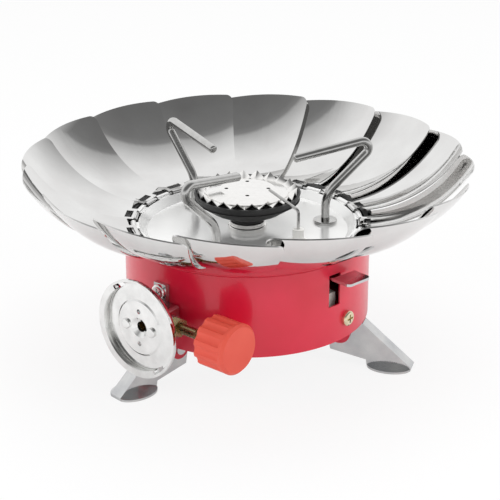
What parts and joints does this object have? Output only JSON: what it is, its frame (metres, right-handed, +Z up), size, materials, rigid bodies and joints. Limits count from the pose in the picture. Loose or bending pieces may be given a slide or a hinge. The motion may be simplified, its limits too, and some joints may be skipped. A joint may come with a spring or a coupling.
{
  "type": "folding camping stove",
  "caption": "Gas camping stove with a round enamelled case, folding legs, swivelling rod pot supports, a piezo lever and a polished petal windshield hinged round the burner.",
  "frame": {"origin": "on the stove's axis at floor level", "axes": "+Z up; -Y is the front, with the control knob front left and the igniter lever front right"},
  "size_m": [0.2034, 0.2034, 0.0999],
  "materials": {
    "case_enamel": "gloss crimson enamel",
    "mirror_stainless": "mirror polished stainless sheet",
    "stainless_rod": "bright drawn stainless wire",
    "zinc_plate": "bright zinc plated pressed steel",
    "burner_steel": "bright pressed stainless",
    "burner_black": "black heat-proof coating",
    "brass": "machined brass",
    "rubber_black": "black seal rubber",
    "knob_red": "moulded coral-red plastic, satin",
    "piezo_plastic": "off-white moulded plastic",
    "spring_steel": "plain spring wire",
    "ceramic_white": "glazed white ceramic",
    "lead_silicone": "silicone-sheathed ignition lead"
  },
  "bodies": {
    "stove": {"case": "case_enamel", "leg_brackets": "case_enamel", "burner_plate": "mirror_stainless", "hinge_ring": "mirror_stainless", "support_eyelets": "stainless_rod", "electrode": "stainless_rod", "canister_flange": "zinc_plate", "leg_pins": "zinc_plate", "flange_rivets": "zinc_plate", "base_plate": "zinc_plate", "piezo_bracket": "zinc_plate", "bracket_nut": "zinc_plate", "valve_lock_nut": "zinc_plate", "valve_screw": "zinc_plate", "valve_body": "zinc_plate", "flame_ring": "burner_steel", "burner_cap": "burner_steel", "tube_collar": "burner_steel", "burner_bowl": "burner_black", "mixing_tube": "burner_black", "hinge_tray": "burner_black", "packing_nut": "brass", "jet_holder": "brass", "gas_jet": "brass", "gas_pipe": "brass", "inlet_nozzle": "brass", "bracket_screw": "brass", "inlet_seal": "rubber_black", "stem_seal": "rubber_black", "piezo_body": "piezo_plastic", "piezo_spring": "spring_steel", "ceramic_insulator": "ceramic_white", "ignition_lead": "lead_silicone"},
    "petal_01": {"petal_01": "mirror_stainless"},
    "petal_02": {"petal_02": "mirror_stainless"},
    "petal_03": {"petal_03": "mirror_stainless"},
    "petal_04": {"petal_04": "mirror_stainless"},
    "petal_05": {"petal_05": "mirror_stainless"},
    "petal_06": {"petal_06": "mirror_stainless"},
    "petal_07": {"petal_07": "mirror_stainless"},
    "petal_08": {"petal_08": "mirror_stainless"},
    "petal_09": {"petal_09": "mirror_stainless"},
    "petal_10": {"petal_10": "mirror_stainless"},
    "petal_11": {"petal_11": "mirror_stainless"},
    "petal_12": {"petal_12": "mirror_stainless"},
    "petal_13": {"petal_13": "mirror_stainless"},
    "petal_14": {"petal_14": "mirror_stainless"},
    "petal_15": {"petal_15": "mirror_stainless"},
    "petal_16": {"petal_16": "mirror_stainless"},
    "leg_1": {"leg_1": "zinc_plate"},
    "leg_2": {"leg_2": "zinc_plate"},
    "leg_3": {"leg_3": "zinc_plate"},
    "pot_support_1": {"pot_support_1": "stainless_rod"},
    "pot_support_2": {"pot_support_2": "stainless_rod"},
    "pot_support_3": {"pot_support_3": "stainless_rod"},
    "knob_and_stem": {"control_knob": "knob_red", "valve_stem": "brass"},
    "lever_and_plunger": {"ignition_lever": "zinc_plate", "piezo_plunger": "piezo_plastic"}
  },
  "joints": [
    {"name": "petal_01_fold", "type": "hinge", "parent": "stove", "child": "petal_01", "pos_m": [0.04942, 0.01587, 0.0633], "axis": [0.3057, -0.9521, 0], "range_deg": [0, 52]},
    {"name": "petal_02_fold", "type": "hinge", "parent": "stove", "child": "petal_02", "pos_m": [0.03958, 0.03357, 0.0633], "axis": [0.6468, -0.7627, 0], "range_deg": [0, 52]},
    {"name": "petal_03_fold", "type": "hinge", "parent": "stove", "child": "petal_03", "pos_m": [0.02372, 0.04616, 0.0633], "axis": [0.8894, -0.4571, 0], "range_deg": [0, 52]},
    {"name": "petal_04_fold", "type": "hinge", "parent": "stove", "child": "petal_04", "pos_m": [0.00425, 0.05173, 0.0633], "axis": [0.9966, -0.0819, 0], "range_deg": [0, 52]},
    {"name": "petal_05_fold", "type": "hinge", "parent": "stove", "child": "petal_05", "pos_m": [-0.01587, 0.04942, 0.0633], "axis": [0.9521, 0.3057, 0], "range_deg": [0, 52]},
    {"name": "petal_06_fold", "type": "hinge", "parent": "stove", "child": "petal_06", "pos_m": [-0.03357, 0.03958, 0.0633], "axis": [0.7627, 0.6468, 0], "range_deg": [0, 52]},
    {"name": "petal_07_fold", "type": "hinge", "parent": "stove", "child": "petal_07", "pos_m": [-0.04616, 0.02372, 0.0633], "axis": [0.4571, 0.8894, 0], "range_deg": [0, 52]},
    {"name": "petal_08_fold", "type": "hinge", "parent": "stove", "child": "petal_08", "pos_m": [-0.05173, 0.00425, 0.0633], "axis": [0.0819, 0.9966, 0], "range_deg": [0, 52]},
    {"name": "petal_09_fold", "type": "hinge", "parent": "stove", "child": "petal_09", "pos_m": [-0.04942, -0.01587, 0.0633], "axis": [-0.3057, 0.9521, 0], "range_deg": [0, 52]},
    {"name": "petal_10_fold", "type": "hinge", "parent": "stove", "child": "petal_10", "pos_m": [-0.03958, -0.03357, 0.0633], "axis": [-0.6468, 0.7627, 0], "range_deg": [0, 52]},
    {"name": "petal_11_fold", "type": "hinge", "parent": "stove", "child": "petal_11", "pos_m": [-0.02372, -0.04616, 0.0633], "axis": [-0.8894, 0.4571, 0], "range_deg": [0, 52]},
    {"name": "petal_12_fold", "type": "hinge", "parent": "stove", "child": "petal_12", "pos_m": [-0.00425, -0.05173, 0.0633], "axis": [-0.9966, 0.0819, 0], "range_deg": [0, 52]},
    {"name": "petal_13_fold", "type": "hinge", "parent": "stove", "child": "petal_13", "pos_m": [0.01587, -0.04942, 0.0633], "axis": [-0.9521, -0.3057, 0], "range_deg": [0, 52]},
    {"name": "petal_14_fold", "type": "hinge", "parent": "stove", "child": "petal_14", "pos_m": [0.03357, -0.03958, 0.0633], "axis": [-0.7627, -0.6468, 0], "range_deg": [0, 52]},
    {"name": "petal_15_fold", "type": "hinge", "parent": "stove", "child": "petal_15", "pos_m": [0.04616, -0.02372, 0.0633], "axis": [-0.4571, -0.8894, 0], "range_deg": [0, 52]},
    {"name": "petal_16_fold", "type": "hinge", "parent": "stove", "child": "petal_16", "pos_m": [0.05173, -0.00425, 0.0633], "axis": [-0.0819, -0.9966, 0], "range_deg": [0, 52]},
    {"name": "leg_1_fold", "type": "hinge", "parent": "stove", "child": "leg_1", "pos_m": [0.04344, -0.01353, 0.0155], "axis": [0.2974, 0.9548, 0], "range_deg": [0, 155]},
    {"name": "leg_2_fold", "type": "hinge", "parent": "stove", "child": "leg_2", "pos_m": [-0.03344, -0.03086, 0.0155], "axis": [0.6782, -0.7349, 0], "range_deg": [0, 155]},
    {"name": "leg_3_fold", "type": "hinge", "parent": "stove", "child": "leg_3", "pos_m": [-0.01, 0.04439, 0.0155], "axis": [-0.9755, -0.2198, 0], "range_deg": [0, 155]},
    {"name": "pot_support_1_swivel", "type": "hinge", "parent": "stove", "child": "pot_support_1", "pos_m": [0.03585, 0.00684, 0.0605], "axis": [0, 0, 1], "range_deg": [-180, 180]},
    {"name": "pot_support_2_swivel", "type": "hinge", "parent": "stove", "child": "pot_support_2", "pos_m": [-0.02442, 0.02712, 0.0605], "axis": [0, 0, 1], "range_deg": [-180, 180]},
    {"name": "pot_support_3_swivel", "type": "hinge", "parent": "stove", "child": "pot_support_3", "pos_m": [-0.0135, -0.03391, 0.0605], "axis": [0, 0, 1], "range_deg": [-180, 180]},
    {"name": "knob_turn", "type": "hinge", "parent": "stove", "child": "knob_and_stem", "pos_m": [-0.01016, -0.07266, 0.0358], "axis": [0.7547, -0.6561, 0], "range_deg": [0, 330]},
    {"name": "lever_press", "type": "slide", "parent": "stove", "child": "lever_and_plunger", "axis": [0, 0, -1], "range_m": [0, 0.0075], "stiffness_N_per_m": 300, "deforming": ["piezo_spring"]}
  ],
  "couplings": [
    {"joint": "petal_02_fold", "follows": "petal_01_fold", "ratio": 1},
    {"joint": "petal_03_fold", "follows": "petal_01_fold", "ratio": 1},
    {"joint": "petal_04_fold", "follows": "petal_01_fold", "ratio": 1},
    {"joint": "petal_05_fold", "follows": "petal_01_fold", "ratio": 1},
    {"joint": "petal_06_fold", "follows": "petal_01_fold", "ratio": 1},
    {"joint": "petal_07_fold", "follows": "petal_01_fold", "ratio": 1},
    {"joint": "petal_08_fold", "follows": "petal_01_fold", "ratio": 1},
    {"joint": "petal_09_fold", "follows": "petal_01_fold", "ratio": 1},
    {"joint": "petal_10_fold", "follows": "petal_01_fold", "ratio": 1},
    {"joint": "petal_11_fold", "follows": "petal_01_fold", "ratio": 1},
    {"joint": "petal_12_fold", "follows": "petal_01_fold", "ratio": 1},
    {"joint": "petal_13_fold", "follows": "petal_01_fold", "ratio": 1},
    {"joint": "petal_14_fold", "follows": "petal_01_fold", "ratio": 1},
    {"joint": "petal_15_fold", "follows": "petal_01_fold", "ratio": 1},
    {"joint": "petal_16_fold", "follows": "petal_01_fold", "ratio": 1}
  ]
}
